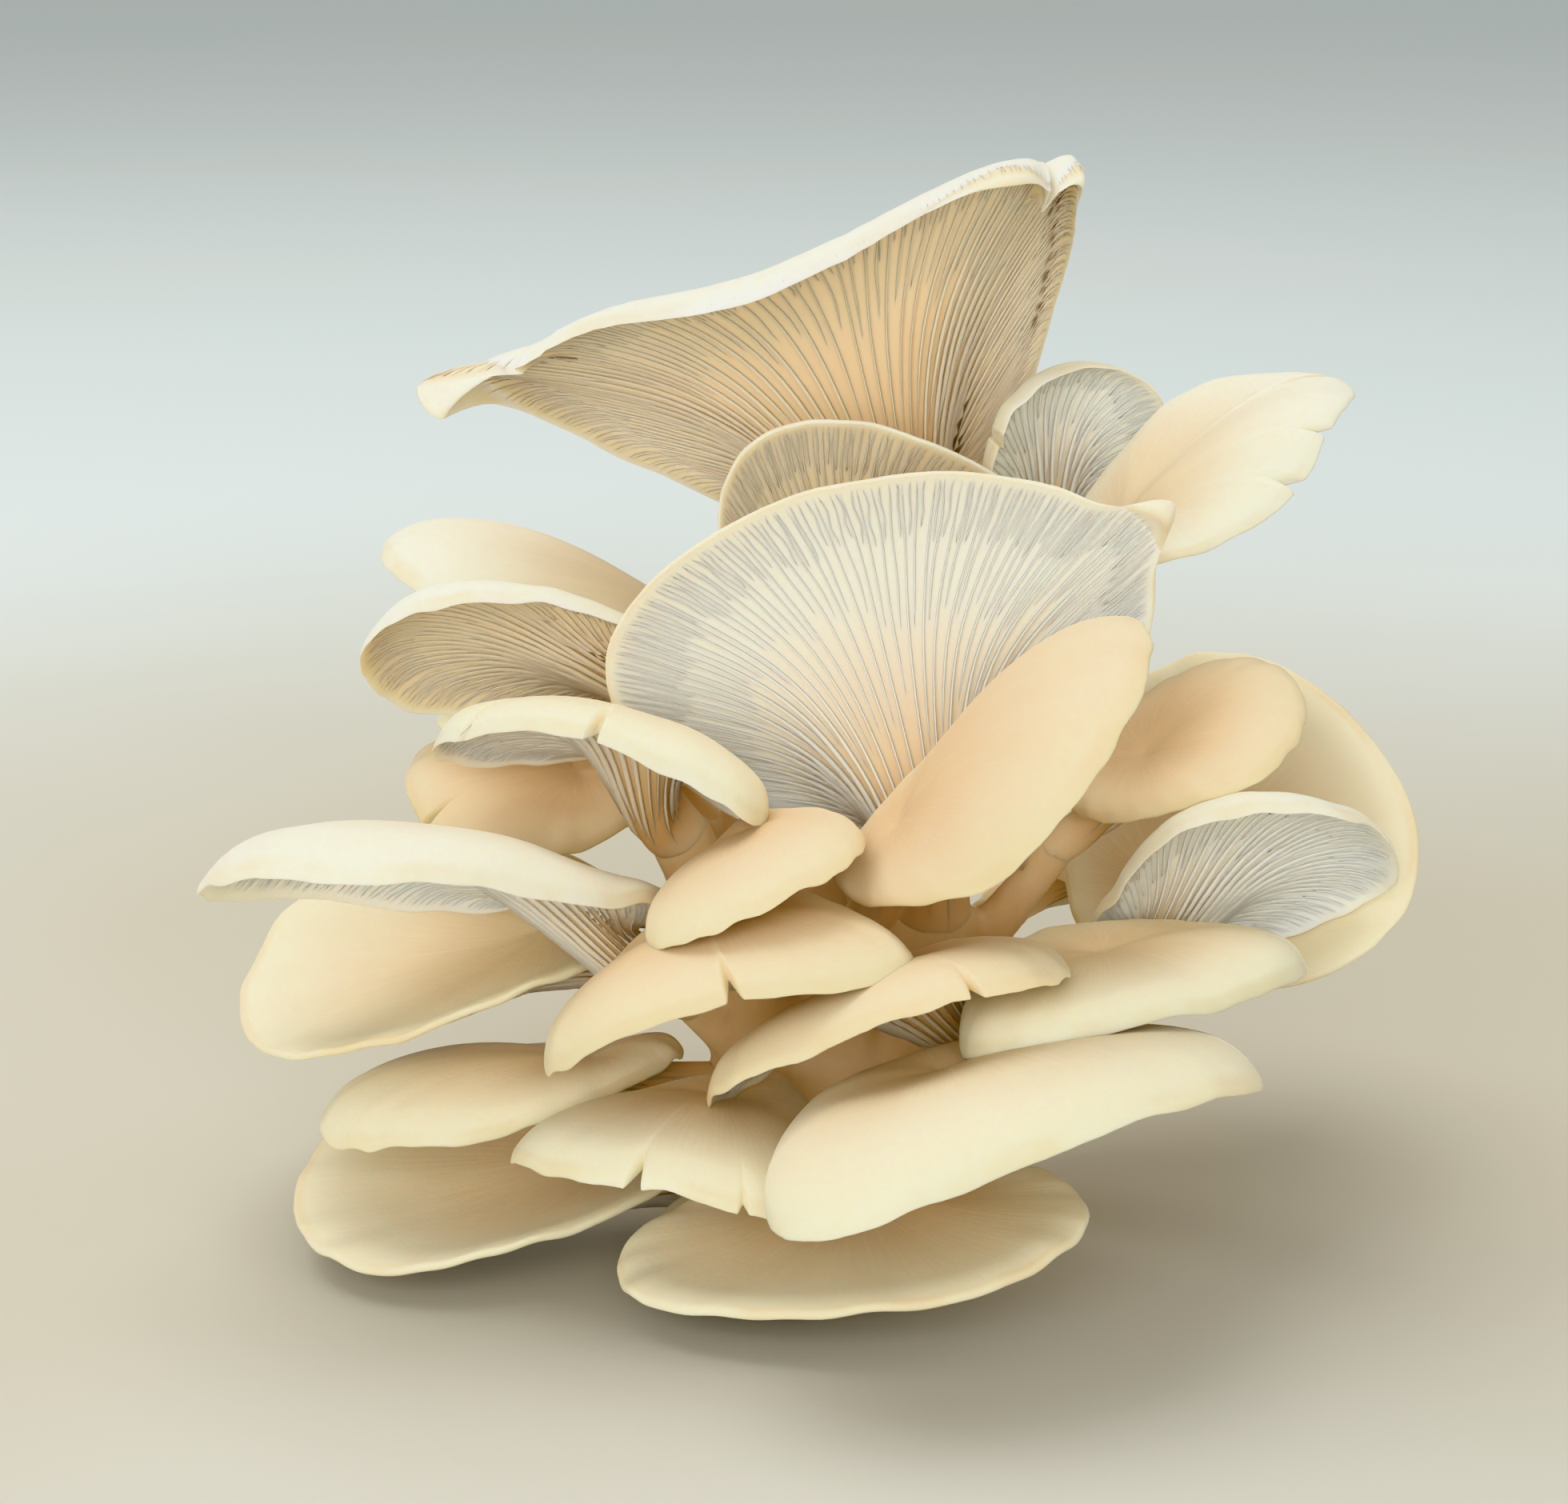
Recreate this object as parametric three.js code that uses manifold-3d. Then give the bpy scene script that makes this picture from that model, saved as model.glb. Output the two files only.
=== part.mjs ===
// An oyster mushroom cluster: a bouquet of fan-shaped caps whose stems fuse into one trunk.
// Millimetres, +Z up. The origin is the centre of the trunk's flat cut foot. The bouquet opens towards -Y.
import * as THREE from "three";
import { mergeVertices } from "three/addons/utils/BufferGeometryUtils.js";
import Module from "manifold-3d";

// The trunk and its tiers. The necks of a tier stand round a leaning axis, furthest out at the waist.
const STUMP_RADIUS = 24;
const STUMP_HEIGHT = 46;
const STUMP_SIDES = 24;
// The stump's outline from the foot to the top, as shares of its radius and height
const STUMP_PROFILE = [[0, 0], [0.85, 0], [1, 0.12], [0.97, 0.35], [0.8, 0.62], [0.5, 0.9], [0, 1]];
const TIER_START = 8;
const TIER_STEP = 18;
const WAIST_HEIGHT = 52;
const WAIST_SPREAD = 42; // from the axis to a neck of the outer ring
const DOME_HEIGHT = 58; // from the waist up or down to where the spread would shrink to nothing
const INNER_RING = 0.4; // the spread of a neck that grew inside the outer ring, as a share
const LEAN_BACK = 0.16; // how far the axis leans, for each millimetre of height
const LEAN_RIGHT = 0.12;

// Flesh
const RIM_THICKNESS = 1.4;
const FLESH_THICKNESS = 4.5; // under the upper skin, where the cap meets its stem
const HEEL_FLESH = 0.4; // the flesh at the heel, as a share of the flesh towards the tip
const INNER_SWELL = 0.12; // how far a rib bulges near the throat and near the rim, as a share of its length
const OUTER_SWELL = 0.2;
const INNER_SHARE = 0.3; // where those two bulges stand along the rib
const OUTER_SHARE = 0.75;
const THROAT = 9; // from the neck forwards to the middle of the cap, where its ribs start
const THROAT_DIP = 1; // how far the throat lies below the cap's own plane
const HEEL = 5; // how far the cap reaches back past its neck

// Stems
const FREE_STEM = 11; // the length of each stem that stands clear of the trunk
const SOCKET = 3; // how far the fused stem reaches up along the free one, before it is cut clear
const BEND = 16; // how far back from the neck a stem starts to turn down
const FLOOR_GAP = 2; // between the lowest stems' bend and the ground
const SLIMMEST_STEM = 3; // radius
const STOUTEST_STEM = 6;
const STEM_SHARE = 0.085; // a stem's radius as a share of the width of its cap
const ROOT_WIDTH = 1.9; // how much stouter a fused stem is at its root than at its free end
const ROOT_DEPTH = 0.3; // how high in the stump the stems are rooted, as a share of its height
const ROOT_SPREAD = 0.12; // how far out each stem is rooted, as a share of how far out its neck stands

// Room between pieces
const CLEARANCE = 0.5; // between the trunk and every mushroom
const CROWDING_GAP = 0.4; // between two mushrooms
const GROUND_GAP = 0.3; // below the lowest mushroom
const PUSH = 0.5; // how far one push of the crowding moves a mushroom
const FEELER = 0.2; // the small move with which the crowding feels its way
const CROWDING_ROUNDS = 60;
const TOUCH = 0.001; // a shared volume below this, in cubic millimetres, is no touch

const CAP_COLOUR = 0xe9d9b8;
const TRUNK_COLOUR = 0xe6d3b0;

const SPOKES = 16;
const BRANCH_SIDES = 8;
const BRANCH_STEPS = [0, 0.35, 0.7, 1]; // shares of the way down a fused stem
const UPPER_STATIONS = [0.4, 0.75, 1]; // shares of the way from the middle of the cap to its rim
const UNDER_STATIONS = [0.75, 0.4];

// What a mushroom's row leaves out
const PLAIN = {
  inner: false, roll: 0, swing: 0, arch: 0, droop: 0.08, flare: 0.25, fan: 0, bulge: 1, waves: [0, 0, 0],
};

// The tiers from the ground up. Each names its mushrooms in their order round the axis, and their necks
// are spread evenly along its arc: 0 is the front (-Y), 90 the right (+X) and -90 the left.
const TIERS = [
  { arc: [-70, 0], names: ["bottom_left_dish", "bottom_back_lobe", "bottom_front_dish"] },
  { arc: [-60, 10], names: ["left_low_leaf", "front_low_leaf", "long_front_wing"] },
  {
    arc: [-80, 130],
    names: [
      "left_low_dish", "left_big_shelf", "front_hood", "front_tongue", "right_low_hood", "right_shell",
      "far_right_dish", "far_right_back_leaf",
    ],
  },
  {
    arc: [-120, 60],
    names: [
      "left_back_pale", "left_mid_droop", "left_mid_hood", "centre_leaf", "right_tongue", "centre_fan",
      "right_back_leaf",
    ],
  },
  { arc: [-130, -50], names: ["left_high_leaf", "left_under_shell", "crown_under_leaf"] },
  { arc: [75, 175], names: ["right_wing", "upper_right_roll", "crown_fan"] },
];

// Growth of each mushroom, in millimetres and degrees:
//   inner       whether it grew inside the outer ring
//   heading     where the cap points, by the same compass
//   rise        how far the tip is lifted above level
//   roll        how far the cap is turned about its own length
//   swing       how far it is turned within its own plane
//   reach       from the neck to the tip, and width across
//   arch        lifts the sides, or drops them where negative, as a share of the half width
//   droop       lowers the tip, as a share of the reach
//   flare       widens the cap towards its tip
//   fan         blunts the tip: 0 is an egg and 1 a fan with a straight front
//   bulge       swells the upper skin, or hollows it where negative
//   waves       ruffles the rim: how many, how high, and where they start
const MUSHROOMS = {
  crown_fan: {
    inner: true, heading: 0, rise: 62, swing: -25,
    reach: 61, width: 98, arch: 0.3, flare: 0.3, fan: 0.8, waves: [3, 4, 40],
  },
  crown_under_leaf: {
    inner: true, heading: 10, rise: 80, swing: 28,
    reach: 46, width: 58, arch: 0.1, flare: 0.4,
  },
  centre_fan: {
    inner: true, heading: 0, rise: 82, swing: -14,
    reach: 59, width: 84, arch: 0.1, flare: 0.2, waves: [3, 3, 0],
  },
  upper_right_roll: {
    heading: 30, rise: 70,
    reach: 36, width: 34, arch: -0.4,
  },
  right_wing: {
    heading: 85, rise: 38, roll: 30,
    reach: 50, width: 30, waves: [3, 3, 90],
  },
  left_high_leaf: {
    heading: -92, rise: 20, roll: -6,
    reach: 60, width: 34, arch: -0.3,
  },
  left_under_shell: {
    heading: -85, rise: 12, roll: 42,
    reach: 50, width: 38,
  },
  left_mid_hood: {
    heading: -26, rise: 32, roll: -4,
    reach: 32, width: 56, arch: -0.3, droop: 0.25,
  },
  left_mid_droop: {
    heading: -78, rise: 4, roll: -20,
    reach: 36, width: 32, arch: -0.25,
  },
  left_back_pale: {
    heading: -100, rise: 18, roll: -20,
    reach: 40, width: 26,
  },
  left_big_shelf: {
    heading: -74, rise: 15, roll: 18,
    reach: 70, width: 60,
  },
  left_low_dish: {
    heading: -90, rise: -8, roll: -20,
    reach: 60, width: 50, arch: 0.2, bulge: -0.5,
  },
  left_low_leaf: {
    heading: -84, rise: -6, roll: 2,
    reach: 52, width: 32, arch: -0.2,
  },
  bottom_left_dish: {
    heading: -72, rise: -2, roll: -12,
    reach: 62, width: 50, arch: 0.15, bulge: -0.4,
  },
  front_low_leaf: {
    heading: -30, rise: 8,
    reach: 38, width: 50, arch: -0.3, droop: 0.2,
  },
  front_hood: {
    heading: -8, rise: 2, roll: 18,
    reach: 30, width: 56, arch: -0.35, droop: 0.25,
  },
  centre_leaf: {
    heading: -12, rise: 12, roll: 26,
    reach: 32, width: 34, arch: -0.25, droop: 0.35,
  },
  right_tongue: {
    heading: 54, rise: 42, roll: 34,
    reach: 58, width: 44, arch: -0.2,
  },
  front_tongue: {
    heading: -24, rise: 6, roll: 26,
    reach: 38, width: 58, arch: -0.2, droop: 0.1,
  },
  right_shell: {
    heading: 68, rise: 38, roll: -36,
    reach: 47, width: 42, flare: 0.4,
  },
  right_back_leaf: {
    heading: 80, rise: 30, roll: 24,
    reach: 34, width: 32,
  },
  far_right_dish: {
    heading: 94, rise: 42, roll: 40,
    reach: 50, width: 64, bulge: -0.4,
  },
  far_right_back_leaf: {
    heading: 100, rise: 4, roll: 24,
    reach: 50, width: 44,
  },
  right_low_hood: {
    heading: 26, rise: 4, roll: 6,
    reach: 32, width: 56, arch: -0.15,
  },
  long_front_wing: {
    heading: 24, rise: 14, roll: 9,
    reach: 50, width: 76, arch: -0.1, droop: 0.16, waves: [2, 3, 0],
  },
  bottom_front_dish: {
    heading: -2, rise: -4, roll: 8,
    reach: 42, width: 68, arch: 0.02, bulge: -0.3,
  },
  bottom_back_lobe: {
    heading: -34, rise: -13,
    reach: 24, width: 14,
  },
};

const radians = THREE.MathUtils.degToRad;
const mix = (from, to, share) => from.clone().lerp(to, share);

// A level direction from its compass heading
function compass(heading) {
  const turn = radians(heading);
  return new THREE.Vector3(Math.sin(turn), -Math.cos(turn), 0);
}

// Where a mushroom's neck stands before crowding: on the dome of the tiers, round the leaning axis
function firstNeck({ name, inner }) {
  const tier = TIERS.findIndex(({ names }) => names.includes(name));
  const { arc, names } = TIERS[tier];
  const turn = THREE.MathUtils.lerp(...arc, names.indexOf(name) / (names.length - 1));
  const height = TIER_START + tier * TIER_STEP;
  const dome = Math.sqrt(1 - ((height - WAIST_HEIGHT) / DOME_HEIGHT) ** 2);
  const spread = WAIST_SPREAD * dome * (inner ? INNER_RING : 1);
  return new THREE.Vector3(LEAN_RIGHT, LEAN_BACK, 1)
    .multiplyScalar(height)
    .addScaledVector(compass(turn), spread);
}

// The three directions of a cap: forwards to its tip, across to its side, and up through its upper skin
function capDirections({ heading, rise, roll, swing }) {
  const level = compass(heading);
  const across = new THREE.Vector3(-level.y, level.x, 0);
  const forward = level.applyAxisAngle(across, -radians(rise));
  across.applyAxisAngle(forward, radians(roll));
  const up = forward.clone().cross(across);
  forward.applyAxisAngle(up, radians(swing));
  across.applyAxisAngle(up, radians(swing));
  return { forward, across, up };
}

function stemRadius({ width }) {
  return THREE.MathUtils.clamp(width * STEM_SHARE, SLIMMEST_STEM, STOUTEST_STEM);
}

// How far the cap's own plane stands above the middle of its neck
const capLift = (mushroom) => 2 * stemRadius(mushroom);

// The rim is an egg or fan, wider towards the tip, then arched, drooped and ruffled along up
function rimPoint(mushroom, directions, angle) {
  const { neck, reach, width, arch, droop, flare, fan, waves } = mushroom;
  const [count, size, phase] = waves;
  const share = 1 - ((1 - Math.cos(angle)) / 2) ** (1 + fan);
  const along = reach * share - HEEL * (1 - share);
  const side = (width / 2) * Math.sin(angle) * (1 + flare * Math.cos(angle));
  const lift = capLift(mushroom) + arch * (width / 2) * Math.sin(angle) ** 2 - droop * reach * share ** 2
    + size * share * Math.cos(count * angle + radians(phase));
  return neck.clone()
    .addScaledVector(directions.forward, along)
    .addScaledVector(directions.across, side)
    .addScaledVector(directions.up, lift);
}

// One ring of the upper skin: each rib is a cubic curve from the throat to the rim, swollen or hollowed
function upperRing(throat, rim, up, bulge, station) {
  return rim.map((end) => {
    const length = throat.distanceTo(end);
    const inner = mix(throat, end, INNER_SHARE).addScaledVector(up, INNER_SWELL * bulge * length);
    const outer = mix(throat, end, OUTER_SHARE).addScaledVector(up, OUTER_SWELL * bulge * length);
    return new THREE.CubicBezierCurve3(throat, inner, outer, end).getPoint(station);
  });
}

// The same ring below the upper skin: the flesh thickens from the rim to the throat, and is thin at the heel
function sunkRing(ring, up, station) {
  return ring.map((point, spoke) => {
    const front = (1 + Math.cos((2 * Math.PI * spoke) / ring.length)) / 2;
    const most = (FLESH_THICKNESS - RIM_THICKNESS) * THREE.MathUtils.lerp(HEEL_FLESH, 1, front);
    return point.clone().addScaledVector(up, -RIM_THICKNESS - most * (1 - station));
  });
}

// A ring square to a stem, whose first point lies on the side that faces down
function stemRing(centre, along, down, radius, sides) {
  const first = down.clone().addScaledVector(along, -down.dot(along)).normalize();
  const second = along.clone().cross(first);
  return Array.from({ length: sides }, (_, side) => {
    const turn = (2 * Math.PI * side) / sides;
    return centre.clone()
      .addScaledVector(first, radius * Math.cos(turn))
      .addScaledVector(second, radius * Math.sin(turn));
  });
}

// The path of a stem, from its neck back along the cap's length and down into the stump
function stemPath(mushroom, directions) {
  const { neck } = mushroom;
  const root = new THREE.Vector3(neck.x * ROOT_SPREAD, neck.y * ROOT_SPREAD, STUMP_HEIGHT * ROOT_DEPTH);
  const bend = neck.clone().addScaledVector(directions.forward, -BEND);
  bend.z = Math.max(bend.z, stemRadius(mushroom) + FLOOR_GAP);
  return new THREE.QuadraticBezierCurve3(neck, bend, root);
}

// Rings of points, from the top point to the foot point, become one closed surface
function closedSurface(top, rings, foot) {
  const count = rings[0].length;
  const points = [top, ...rings.flat(), foot];
  const last = points.length - 1;
  const faces = [];
  for (let spoke = 0; spoke < count; spoke += 1) {
    const next = (spoke + 1) % count;
    faces.push(0, 1 + spoke, 1 + next);
    for (let ring = 0; ring < rings.length - 1; ring += 1) {
      const above = 1 + ring * count;
      const below = above + count;
      faces.push(above + spoke, below + spoke, below + next);
      faces.push(above + spoke, below + next, above + next);
    }
    const lowest = last - count;
    faces.push(last, lowest + next, lowest + spoke);
  }
  const geometry = new THREE.BufferGeometry();
  const values = points.flatMap((point) => point.toArray());
  geometry.setAttribute("position", new THREE.Float32BufferAttribute(values, 3));
  geometry.setIndex(faces);
  return geometry;
}

function mushroomGeometry(mushroom) {
  const { neck, bulge } = mushroom;
  const directions = capDirections(mushroom);
  const { forward, up } = directions;
  const throat = neck.clone()
    .addScaledVector(forward, THROAT)
    .addScaledVector(up, capLift(mushroom) - THROAT_DIP);
  const rim = Array.from({ length: SPOKES }, (_, spoke) => (
    rimPoint(mushroom, directions, (2 * Math.PI * spoke) / SPOKES)
  ));
  const upper = (station) => upperRing(throat, rim, up, bulge, station);
  const path = stemPath(mushroom, directions);
  const length = path.getLength();
  const down = up.clone().negate();
  const ringAt = (distance) => {
    const share = distance / length;
    const along = path.getTangentAt(share).negate();
    return stemRing(path.getPointAt(share), along, down, stemRadius(mushroom), SPOKES);
  };
  const rings = [
    ...UPPER_STATIONS.map(upper),
    sunkRing(rim, up, 1),
    ...UNDER_STATIONS.map((station) => sunkRing(upper(station), up, station)),
    ringAt(0),
    ringAt(FREE_STEM),
  ];
  return closedSurface(throat, rings, path.getPointAt(FREE_STEM / length));
}

// The fused part of a stem, from where the free stem ends to its root inside the stump
function branchGeometry(mushroom) {
  const directions = capDirections(mushroom);
  const path = stemPath(mushroom, directions);
  const start = (FREE_STEM - SOCKET) / path.getLength();
  const down = directions.up.clone().negate();
  const rings = BRANCH_STEPS.map((step) => {
    const share = THREE.MathUtils.lerp(start, 1, step);
    const radius = stemRadius(mushroom) * THREE.MathUtils.lerp(1, ROOT_WIDTH, step);
    return stemRing(path.getPointAt(share), path.getTangentAt(share).negate(), down, radius, BRANCH_SIDES);
  });
  return closedSurface(path.getPointAt(start), rings, path.getPointAt(1));
}

const MERGE_DISTANCE = 1e-4;
const wasm = await Module();
wasm.setup();

function toSolid(geometry) {
  const bare = geometry.clone();
  bare.deleteAttribute("normal");
  bare.deleteAttribute("uv");
  const merged = mergeVertices(bare, MERGE_DISTANCE);
  return new wasm.Manifold(new wasm.Mesh({
    numProp: 3,
    vertProperties: new Float32Array(merged.attributes.position.array),
    triVerts: new Uint32Array(merged.index.array),
  }));
}

function toGeometry(solid) {
  const { vertProperties, triVerts } = solid.getMesh();
  const geometry = new THREE.BufferGeometry();
  geometry.setAttribute("position", new THREE.BufferAttribute(vertProperties, 3));
  geometry.setIndex(new THREE.BufferAttribute(triVerts, 1));
  return geometry;
}

// A copy of a surface moved outwards by a distance, which leaves the gap around a mushroom once cut away
function swollen(geometry, distance) {
  const copy = geometry.clone();
  copy.computeVertexNormals();
  const { position, normal } = copy.attributes;
  for (let i = 0; i < position.count; i += 1) {
    position.setXYZ(
      i,
      position.getX(i) + normal.getX(i) * distance,
      position.getY(i) + normal.getY(i) * distance,
      position.getZ(i) + normal.getZ(i) * distance,
    );
  }
  return copy;
}

// A mushroom as the crowding feels it: half the gap thicker all round, and moved a little
function feltSolid(mushroom, move) {
  const moved = { ...mushroom, neck: mushroom.neck.clone().add(move) };
  return toSolid(swollen(mushroomGeometry(moved), CROWDING_GAP / 2));
}

// The room that two mushrooms both take up
function sharedVolume(first, second) {
  const shared = first.intersect(second);
  const volume = shared.volume();
  shared.delete();
  return volume;
}

const AXES = [new THREE.Vector3(1, 0, 0), new THREE.Vector3(0, 1, 0), new THREE.Vector3(0, 0, 1)];

// The direction in which the shared room shrinks fastest as the first mushroom moves, felt by small moves
function wayOut(mushroom, neighbour) {
  const change = AXES.map((axis) => {
    const [ahead, behind] = [FEELER, -FEELER].map((step) => {
      const felt = feltSolid(mushroom, axis.clone().multiplyScalar(step));
      const volume = sharedVolume(felt, neighbour);
      felt.delete();
      return volume;
    });
    return behind - ahead;
  });
  return new THREE.Vector3(...change).normalize();
}

// How far a mushroom has to rise to stand clear of the ground
function groundPush(mushroom) {
  const geometry = mushroomGeometry(mushroom);
  geometry.computeBoundingBox();
  return new THREE.Vector3(0, 0, Math.max(0, GROUND_GAP - geometry.boundingBox.min.z));
}

// Crowding: as they swell, mushrooms that touch push each other apart until each has its own room
function crowd(mushrooms) {
  const still = new THREE.Vector3();
  for (let round = 0; round < CROWDING_ROUNDS; round += 1) {
    const solids = mushrooms.map((mushroom) => feltSolid(mushroom, still));
    const pushes = mushrooms.map(groundPush);
    mushrooms.forEach((mushroom, first) => {
      for (let second = first + 1; second < mushrooms.length; second += 1) {
        if (sharedVolume(solids[first], solids[second]) > TOUCH) {
          const way = wayOut(mushroom, solids[second]).multiplyScalar(PUSH);
          pushes[first].add(way);
          pushes[second].sub(way);
        }
      }
    });
    solids.forEach((solid) => solid.delete());
    mushrooms.forEach((mushroom, index) => mushroom.neck.add(pushes[index].clampLength(0, PUSH)));
    if (pushes.every((push) => push.length() === 0)) {
      break;
    }
  }
}

// The stump is a low rounded block, cut flat underneath
function stumpGeometry() {
  const points = STUMP_PROFILE.map(([out, height]) => (
    new THREE.Vector2(out * STUMP_RADIUS, height * STUMP_HEIGHT)
  ));
  return new THREE.LatheGeometry(points, STUMP_SIDES).rotateX(Math.PI / 2);
}

// The trunk is the stump and the fused stems, cut clear of every mushroom, less the loose scraps of the cut
function trunkGeometry(mushrooms) {
  const branches = mushrooms.map((mushroom) => toSolid(branchGeometry(mushroom)));
  const whole = branches.reduce((trunk, branch) => trunk.add(branch), toSolid(stumpGeometry()));
  const cut = mushrooms.reduce((trunk, mushroom) => (
    trunk.subtract(toSolid(swollen(mushroomGeometry(mushroom), CLEARANCE)))
  ), whole);
  const largest = cut.decompose().reduce((best, piece) => (piece.volume() > best.volume() ? piece : best));
  return toGeometry(largest);
}

function namedMesh(name, geometry, colour) {
  const material = new THREE.MeshStandardMaterial({ color: colour, roughness: 0.6, metalness: 0 });
  const mesh = new THREE.Mesh(geometry, material);
  mesh.name = name;
  return mesh;
}

const mushrooms = Object.entries(MUSHROOMS).map(([name, growth]) => {
  const mushroom = { ...PLAIN, ...growth, name };
  return { ...mushroom, neck: firstNeck(mushroom) };
});
crowd(mushrooms);

const cluster = new THREE.Group();
mushrooms.forEach((mushroom) => {
  cluster.add(namedMesh(mushroom.name, mushroomGeometry(mushroom), CAP_COLOUR));
});
cluster.add(namedMesh("trunk", trunkGeometry(mushrooms), TRUNK_COLOUR));

export default cluster;
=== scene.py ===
# %% [markdown]
# # A cluster of oyster mushrooms
# The frame gives every mushroom as a coarse closed cage: sixteen ribs that run from the middle of the cap over its
# rim, back along the underside and down the stem. This lesson reads those cages, draws smooth flesh through them
# and hangs thin gills under each cap. Every place comes from the frame, so the looks always fit the solid part.

# %% Tools and the frame
import math

import bpy
import numpy as np
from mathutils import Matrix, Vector


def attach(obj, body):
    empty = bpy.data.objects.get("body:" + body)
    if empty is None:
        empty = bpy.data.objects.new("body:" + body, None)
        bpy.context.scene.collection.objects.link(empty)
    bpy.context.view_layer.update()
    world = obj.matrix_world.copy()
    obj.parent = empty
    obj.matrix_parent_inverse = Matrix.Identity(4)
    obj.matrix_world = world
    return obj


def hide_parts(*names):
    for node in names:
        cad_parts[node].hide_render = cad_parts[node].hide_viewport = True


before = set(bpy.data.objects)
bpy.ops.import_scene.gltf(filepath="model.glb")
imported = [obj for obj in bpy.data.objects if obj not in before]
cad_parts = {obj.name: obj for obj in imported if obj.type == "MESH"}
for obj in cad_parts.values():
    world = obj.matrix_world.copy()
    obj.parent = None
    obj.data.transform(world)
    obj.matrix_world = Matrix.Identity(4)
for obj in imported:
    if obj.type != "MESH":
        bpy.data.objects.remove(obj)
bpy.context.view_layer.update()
MM = 0.001
trunk_node = "trunk"
mushroom_nodes = sorted(set(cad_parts) - {trunk_node})
print("mushrooms:", len(mushroom_nodes))

# %% [markdown]
# ## Camera
# The cluster is seen from a little above, with a long lens that keeps the near caps from swelling. The lens follows
# from how wide a slice of the scene should fill the picture at the distance of the trunk.

# %% Camera
AIM = Vector((-0.009, 0.0, 0.075))
CAMERA_DISTANCE = 0.60
CAMERA_ELEVATION = math.radians(14)
PICTURE_WIDTH = 0.245

camera_data = bpy.data.cameras.new("camera")
camera_data.lens = camera_data.sensor_width * CAMERA_DISTANCE / PICTURE_WIDTH
camera = bpy.data.objects.new("camera", camera_data)
backwards = Vector((0, -math.cos(CAMERA_ELEVATION), math.sin(CAMERA_ELEVATION)))
camera.location = AIM + CAMERA_DISTANCE * backwards
camera.rotation_euler = (math.pi / 2 - CAMERA_ELEVATION, 0, 0)
bpy.context.scene.collection.objects.link(camera)
bpy.context.scene.camera = camera
print("lens:", round(camera_data.lens, 1), "mm")

# %% [markdown]
# ## Shader maths as expressions
# A material is a network of nodes. Written one node at a time it hides its own meaning, so a small class wraps a
# socket and turns plus, minus, times and divide into Math nodes. Colours go through Mix nodes instead.


# %% Shader helpers
class Value:
    """A number that varies over a surface. Arithmetic on it adds Math nodes to its material."""

    def __init__(self, finish, socket):
        self.finish = finish
        self.socket = socket

    def _math(self, operation, *values):
        return self.finish.node("ShaderNodeMath", {"operation": operation}, dict(enumerate(values)))

    def __add__(self, other):
        return self._math("ADD", self, other)

    def __sub__(self, other):
        return self._math("SUBTRACT", self, other)

    def __rsub__(self, other):
        return self._math("SUBTRACT", other, self)

    def __mul__(self, other):
        return self._math("MULTIPLY", self, other)

    __radd__ = __add__
    __rmul__ = __mul__

    def between(self, low, high):
        """0 up to low, 1 from high on, and a smooth step between them."""
        settings = {"interpolation_type": "SMOOTHSTEP"}
        return self.finish.node("ShaderNodeMapRange", settings, {"Value": self, "From Min": low, "From Max": high})


class Finish:
    """A material whose Principled shader takes constants on its sockets and expressions where it varies."""

    def __init__(self, name, **constants):
        self.material = bpy.data.materials.new(name)
        self.material.use_nodes = True
        self.tree = self.material.node_tree
        self.shader = self.tree.nodes["Principled BSDF"]
        for socket, value in constants.items():
            self.shader.inputs[socket.replace("_", " ")].default_value = value

    def node(self, kind, settings=None, values=None, output=0):
        """Adds a node, sets it up, feeds its sockets and hands back one of its outputs."""
        made = self.tree.nodes.new(kind)
        for key, value in (settings or {}).items():
            setattr(made, key, value)
        for key, value in (values or {}).items():
            if isinstance(value, Value):
                self.tree.links.new(value.socket, made.inputs[key])
            else:
                made.inputs[key].default_value = value
        return Value(self, made.outputs[output])

    def blend(self, share, first, second):
        """A colour that goes from first to second with share."""
        made = self.tree.nodes.new("ShaderNodeMix")
        made.data_type = "RGBA"
        sockets = [s for s in made.inputs if s.enabled]
        for socket, value in zip(sockets, (share, first, second)):
            if isinstance(value, Value):
                self.tree.links.new(value.socket, socket)
            else:
                socket.default_value = value if isinstance(value, float) else (*value, 1.0)
        return Value(self, next(s for s in made.outputs if s.enabled))

    def noise(self, place, scale, detail=3.0):
        """Smooth cloudy noise from 0 to 1 at a place."""
        return self.node("ShaderNodeTexNoise", {}, {"Vector": place, "Scale": scale, "Detail": detail})

    def feed(self, **links):
        """Links expressions to the shader's sockets."""
        for socket, value in links.items():
            self.tree.links.new(value.socket, self.shader.inputs[socket.replace("_", " ")])


# %% [markdown]
# ## Reading a cage
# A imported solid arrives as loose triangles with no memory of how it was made. Its shape still tells: only the two
# ends of a mushroom's cage have sixteen triangles round them. Starting from the end inside the cap, each ring is
# the next layer of corners outwards, and the way each triangle turns keeps the ribs in order.

# %% Cages
RIBS = 16
RIM_RING, UNDER_RIM_RING, NECK_RING, FOOT_RING = 2, 3, 6, 7
UPPER_STATIONS = np.array([0.0, 0.4, 0.75, 1.0])
MERGE_DISTANCE = 1e-6
SMALL_STEP = 1e-3
NEARLY_NOTHING = 1e-12


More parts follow.
